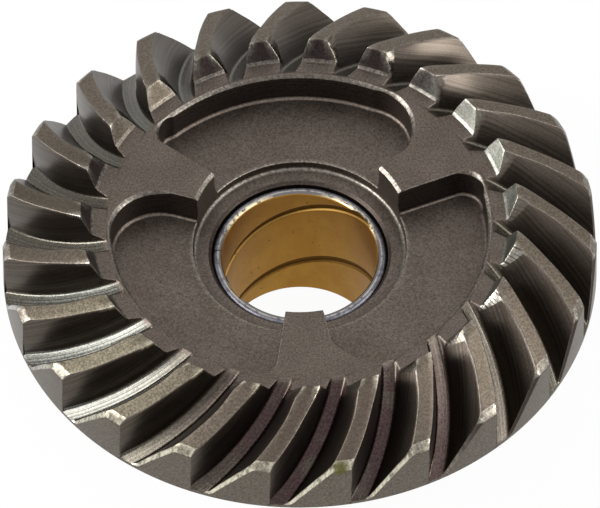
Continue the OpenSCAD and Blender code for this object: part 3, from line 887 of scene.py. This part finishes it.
def gear_steel():
    """Case-hardened steel: brown-grey, fine grained and semi-matt, sandier lands, bright ground facets;
    painted light and shade by place on toe faces, roots, lands and facets.
    """
    material, shader, place = new_material("gear_steel")
    mask = {}
    for name in ("land", "flank", "root", "ground", "heel", "wall", "toe", "facet", "across"):
        mask[name] = place.node("Attribute", {"attribute_name": name}, output="Fac")
    fine = grain(place, 0.3, 2.0)
    patch = grain(place, 6.0, 3.0)
    scratch = grain(place, 0.5, 3.0, (1.0, 1.0, 0.3))
    radius = around(place)
    rings = streaks(radius * 5200)
    height = place.node("SeparateXYZ", None, {0: place}, output="Z")
    lines = streaks(height * 4600)

    steel = mix(patch.between(0.35, 0.65), colour(95, 86, 79), colour(101, 92, 85))
    feed_marks = streaks(mask["across"] * 6 + patch)
    brushed = mix(feed_marks.between(0.3, 0.7), colour(76, 69, 62), colour(94, 86, 78))
    steel = mix(mask["flank"], steel, brushed)
    steel = mix(mask["heel"], steel, colour(102, 95, 86))
    # Dark turned wall steel; through the wall mask the same colour is also painted shade on floors by far
    # walls, far rim chamfers and the chamfer above the bush
    steel = mix(mask["wall"], steel, mix(lines.between(0.35, 0.65), colour(52, 45, 41), colour(72, 64, 59)))
    purple = near(place, 6, -35, 24, 30) * grain(place, 5.0, 2.0).between(0.2, 0.45)
    root_marks_and_highlight = mix(feed_marks.between(0.35, 0.65), colour(68, 64, 57), colour(92, 88, 79))
    # Painted highlight: roots on the lower left get a lighter, cooler colour
    root_painted_highlight = mix(feed_marks.between(0.4, 0.6), colour(62, 62, 59), colour(112, 112, 106))
    root_marks_and_highlight = mix(near(place, -31, -17, 26, 20), root_marks_and_highlight, root_painted_highlight)
    root_marks_and_highlight = mix(purple * 0.8, root_marks_and_highlight, colour(64, 48, 49))
    steel = mix(mask["root"], steel, root_marks_and_highlight)
    sandy_land_and_shade = mix(fine.between(0.3, 0.7), colour(92, 83, 73), colour(103, 94, 83))
    worn = mix(fine.between(0.3, 0.7), colour(88, 82, 70), colour(108, 101, 86))
    sandy_land_and_shade = mix(near(place, -27, -24, 30, 20), sandy_land_and_shade, worn)
    # Painted shade on the lands at the left; lands at the bottom turn darker and browner
    sandy_land_and_shade = mix(near(place, -36, 4, 29, 17), sandy_land_and_shade, colour(80, 73, 64))
    sandy_land_and_shade = mix(near(place, 6, -37, 29, 24), sandy_land_and_shade, colour(84, 75, 67))
    steel = mix(mask["land"], steel, sandy_land_and_shade)
    # Painted light on the toe faces of the right-hand teeth, painted shade on those at the upper left
    toe_painted_light = near(place, 26, 15, 31.5, 20)
    toe_lit_and_shaded = mix(toe_painted_light, colour(82, 82, 77), colour(150, 152, 143))
    toe_painted_shade = mix(near(place, -22, 20.5, 31, 12), colour(60, 52, 50), colour(106, 98, 86))
    toe_lit_and_shaded = mix(near(place, 30, 0, 31, 34), toe_painted_shade, toe_lit_and_shaded)
    steel = mix(mask["toe"], steel, toe_lit_and_shaded)
    bare = mix(scratch.between(0.35, 0.65), colour(122, 119, 110), colour(176, 172, 162))
    # Painted highlight: ground facets lighter and creamier towards the front
    facet_painted_highlight = mix(scratch.between(0.3, 0.6), colour(150, 146, 130), colour(222, 216, 194))
    bare = mix(near(place, -9, -40, 26, 44), bare, facet_painted_highlight)
    # Painted shade: heel facets on the right, below the heel's top, are dark
    right = place.node("SeparateXYZ", None, {0: place}, output="X")
    painted_facet_shade = right.between(14 * MM, 26 * MM) * (1 - height.between(27.3 * MM, 27.8 * MM))
    bare = mix(painted_facet_shade, bare, colour(62, 55, 51))
    steel = mix(mask["ground"] * (0.45 + scratch), steel, bare)
    strokes = streaks(height * 2400)
    # Toe facets: grinding strokes, with a painted highlight on the facets at the front right
    stroked_and_highlight = mix(near(place, 27.5, -13, 31, 11), colour(98, 93, 85), colour(150, 147, 138))
    stroked_and_highlight = mix(strokes.between(0.38, 0.5), colour(74, 68, 61), stroked_and_highlight)
    steel = mix(mask["facet"] * (1 - 0.9 * toe_painted_light), steel, stroked_and_highlight)
    speckle = 1 + 1.9 * (fine - 0.5) * (1 - 0.65 * mask["flank"] - 0.3 * mask["land"])
    grey = speckle.node("CombineColor", None, {"Red": speckle, "Green": speckle, "Blue": speckle})
    steel = mix(1.0, steel, grey, "MULTIPLY")
    steel = mix(near(place, 5.5, -41.5, 27.8, 1.6) * 0.75, steel, colour(88, 84, 26))

    rough = 0.45 + 0.12 * (patch - 0.5) + 0.15 * (fine - 0.5)
    rough = rough - 0.08 * mask["flank"] - 0.16 * mask["root"] - 0.14 * mask["ground"]
    rough = rough - 0.08 * mask["facet"] - 0.05 * mask["heel"]
    plain = 1 - 0.7 * mask["root"] - 0.7 * mask["flank"]
    relief = (fine * 0.8 + rings * 0.3) * plain + fine * mask["land"] * 0.5
    relief = relief + feed_marks * mask["root"] * 0.6
    bump = relief.node("Bump", None, {"Height": relief, "Strength": 0.16, "Distance": 0.00005})
    feed(shader, Base_Color=steel, Roughness=rough, Metallic=1.0, Normal=bump)
    return material


def seam(place):
    """1 on the bush's butt seam, a thin line along the axis at the part's left."""
    spot = (-SEAT_R * MM, 0.97 * MM, 0.0)
    away = place.node("VectorMath", {"operation": "SUBTRACT"}, {0: place, 1: spot})
    flat = away.node("VectorMath", {"operation": "MULTIPLY"}, {0: away, 1: (0.05, 1, 0)})
    gap = flat.node("VectorMath", {"operation": "LENGTH"}, {0: flat}, output="Value")
    return 1 - gap.between(0.06 * MM, 0.12 * MM)


def bush_steel():
    """Machined mild steel of the bush: grey-blue, finely turned, with small scuffs and a brighter lip."""
    material, shader, place = new_material("bush_steel")
    radius = around(place)
    rings = streaks(radius * 9000)
    scuff = grain(place, 0.8, 3.0)
    lip = 1 - radius.between((LINING_R + 0.05) * MM, (LINING_R + 0.3) * MM)
    steel = mix(scuff.between(0.35, 0.7), colour(92, 90, 96), colour(128, 127, 133))
    steel = mix(lip * scuff.between(0.3, 0.6), steel, colour(186, 183, 177))
    shadowed = radius.between((SEAT_R - BUSH_CHAMFER + 0.05) * MM, (SEAT_R - 0.2) * MM)
    steel = mix(shadowed * 0.8, steel, colour(40, 38, 38))
    steel = mix(seam(place), steel, colour(44, 38, 34))
    rough = 0.3 + 0.15 * scuff
    relief = rings * 0.6 + scuff * 0.5
    bump = relief.node("Bump", None, {"Height": relief, "Strength": 0.25, "Distance": 0.00005})
    feed(shader, Base_Color=steel, Roughness=rough, Metallic=1.0, Normal=bump)
    return material


def bush_bronze():
    """Sintered bronze lining: golden brown and satin, darker grooves with painted highlights on their edges,
    tiny pores, and painted cream highlights on the rim.
    """
    material, shader, place = new_material("bush_bronze")
    groove = place.node("Attribute", {"attribute_name": "groove"}, output="Fac")
    patch = grain(place, 4.0, 3.0)
    pores = grain(place, 0.25, 2.0)
    axial = grain(place, 0.5, 2.0, (1.0, 1.0, 0.15))
    bronze = mix(patch.between(0.3, 0.7), colour(146, 104, 34), colour(158, 117, 44))
    bronze = mix(pores.between(0.62, 0.75) * 0.5, bronze, colour(96, 66, 20))
    bronze = mix(groove * 0.8, bronze, colour(84, 57, 16))
    # Painted highlight: paler, less saturated bronze along the groove edges
    bronze = mix(groove * (1 - groove) * 2, bronze, colour(166, 138, 86))
    pits = grain(place, 0.8, 1.0).between(0.73, 0.77)
    bronze = mix(pits * 0.7, bronze, colour(62, 42, 16))
    height = place.node("SeparateXYZ", None, {0: place}, output="Z")
    rim = height.between((BUSH_TOP - 0.2) * MM, (BUSH_TOP - 0.08) * MM)
    # Painted highlight: the rim shows cream reflections at the upper left and upper right, broken up by noise
    highlight_breakup = grain(place, 0.7, 3.0).between(0.4, 0.55)
    rim_painted_highlight = (near(place, -7.9, 7.9, BUSH_TOP, 6.5) + near(place, 8.0, 7.9, BUSH_TOP, 7.0)) * highlight_breakup
    edge = mix(rim_painted_highlight, colour(116, 113, 114), colour(240, 226, 192))
    edge = mix(seam(place), edge, colour(44, 38, 34))
    bronze = mix(rim, bronze, edge)
    rough = 0.36 + 0.12 * patch + 0.1 * axial + 0.15 * groove - 0.1 * rim
    relief = pores * 0.5 + axial * 0.4
    bump = relief.node("Bump", None, {"Height": relief, "Strength": 0.15, "Distance": 0.00005})
    feed(shader, Base_Color=bronze, Roughness=rough, Metallic=1.0, Normal=bump)
    return material


def dress(piece, material, node):
    """Gives a piece its finish, sets it on the part's body and lets it stand for its solid."""
    piece.data.materials.append(material)
    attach(piece, "root")
    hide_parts(node)


def shown_ray(tree):
    """1 for rays that see the background: from the camera, by reflection or through glass."""
    path = tree.nodes.new("ShaderNodeLightPath")
    camera = Shade(tree, path.outputs["Is Camera Ray"])
    glossy = Shade(tree, path.outputs["Is Glossy Ray"])
    through = Shade(tree, path.outputs["Is Transmission Ray"])
    return camera.math("MAXIMUM", camera, camera.math("MAXIMUM", glossy, through))


def pale_floor():
    """Plain white floor: it takes a faint shadow and otherwise shows as the white background."""
    size = 40.0
    corners = np.array([(-size, -size, 0), (size, -size, 0), (size, size, 0), (-size, size, 0)])
    mesh = bpy.data.meshes.new("floor")
    mesh.from_pydata(corners.tolist(), [], [(0, 1, 2, 3)])
    floor = bpy.data.objects.new("floor", mesh)
    bpy.context.scene.collection.objects.link(floor)
    material = bpy.data.materials.new("floor_white")
    material.use_nodes = True
    tree = material.node_tree
    tree.nodes.clear()
    start = Shade(tree)
    matt = start.node("BsdfDiffuse", None, {"Color": (0.85, 0.85, 0.85, 1)})
    glow = start.node("Emission", None, {"Color": (1, 1, 1, 1), "Strength": 1.0})
    share = shown_ray(tree) * 0.96
    both = start.node("MixShader", None, {0: share, 1: matt, 2: glow})
    out = tree.nodes.new("ShaderNodeOutputMaterial")
    tree.links.new(both.socket, out.inputs["Surface"])
    mesh.materials.append(material)


def white_world():
    """Soft light from all round, and a white background."""
    world = bpy.data.worlds.new("studio")
    bpy.context.scene.world = world
    world.use_nodes = True
    tree = world.node_tree
    tree.nodes.clear()
    start = Shade(tree)
    soft = start.node("Background", None, {"Color": (1, 1, 1, 1), "Strength": 0.6})
    white = start.node("Background", None, {"Color": (1, 1, 1, 1), "Strength": 1.0})
    both = start.node("MixShader", None, {0: shown_ray(tree), 1: soft, 2: white})
    out = tree.nodes.new("ShaderNodeOutputWorld")
    tree.links.new(both.socket, out.inputs["Surface"])


def soft_lamp(name, place, aim, size, power):
    """A square area lamp at a place, turned to what it lights."""
    lamp = bpy.data.lights.new(name, "AREA")
    lamp.size = size
    lamp.energy = power
    holder = bpy.data.objects.new(name, lamp)
    holder.location = place
    holder.rotation_mode = "QUATERNION"
    holder.rotation_quaternion = (Vector(aim) - Vector(place)).to_track_quat("-Z", "Y")
    bpy.context.scene.collection.objects.link(holder)


# Camera: elevation and roll of the view, where the plate's middle shows, and pixels per outside radius
VIEW_ELEVATION = np.radians(52.55)
VIEW_ROLL = np.radians(-0.37)
IMAGE_SIZE = (600, 508)
PLATE_MIDDLE = (299.6, 224.85)
PIXELS_PER_RADIUS = 297.5
VIEW_DISTANCE = 70.0
SENSOR_MM = 36.0


def photo_camera():
    """The camera at the photograph's angle, far off, moved square to its axis to put the plate in place."""
    back = np.array([0, -np.cos(VIEW_ELEVATION), np.sin(VIEW_ELEVATION)])
    right = np.array([1.0, 0, 0])
    up = np.cross(back, right)
    across = np.cos(VIEW_ROLL) * right + np.sin(VIEW_ROLL) * up
    upward = -np.sin(VIEW_ROLL) * right + np.cos(VIEW_ROLL) * up
    shift_x = (PLATE_MIDDLE[0] - IMAGE_SIZE[0] / 2) / PIXELS_PER_RADIUS
    shift_y = -(PLATE_MIDDLE[1] - IMAGE_SIZE[1] / 2) / PIXELS_PER_RADIUS
    radius = OUTSIDE_R * MM
    plate = np.array([0, 0, FRONT_Z * MM])
    place = plate - radius * (shift_x * across + shift_y * upward - VIEW_DISTANCE * back)
    data = bpy.data.cameras.new("camera")
    data.sensor_width = SENSOR_MM
    data.lens = PIXELS_PER_RADIUS * VIEW_DISTANCE * SENSOR_MM / IMAGE_SIZE[0]
    data.clip_end = 100.0
    camera = bpy.data.objects.new("camera", data)
    axes = Matrix(np.column_stack([across, upward, back]).tolist()).to_4x4()
    camera.matrix_world = Matrix.Translation(place.tolist()) @ axes
    bpy.context.scene.collection.objects.link(camera)
    bpy.context.scene.camera = camera


photo_camera()
white_world()
pale_floor()
soft_lamp("left_window", (-0.44, -0.1, 0.36), (0, 0, 0.02), 0.26, 2.3)
soft_lamp("left_low", (-0.6, 0.0, 0.13), (0, 0, 0.03), 0.22, 2.4)
soft_lamp("right_window", (0.6, -0.22, 0.13), (0, 0.02, 0.03), 0.16, 1.6)
soft_lamp("right_fill", (0.42, -0.05, 0.52), (0, 0, 0.02), 0.24, 1.3)
bpy.context.scene.view_settings.view_transform = "Standard"

gear_points, gear_masks = gear_grid()
gear = grid_piece("gear", gear_points, gear_masks)
dress(gear, gear_steel(), "gear_body")

shell = grid_piece("bush_back", bush_shell_grid())
dress(shell, bush_steel(), "bush_shell")

lining_points, lining_masks = bush_lining_grid()
lining = grid_piece("bush_bronze_lining", lining_points, lining_masks)
dress(lining, bush_bronze(), "bush_lining")
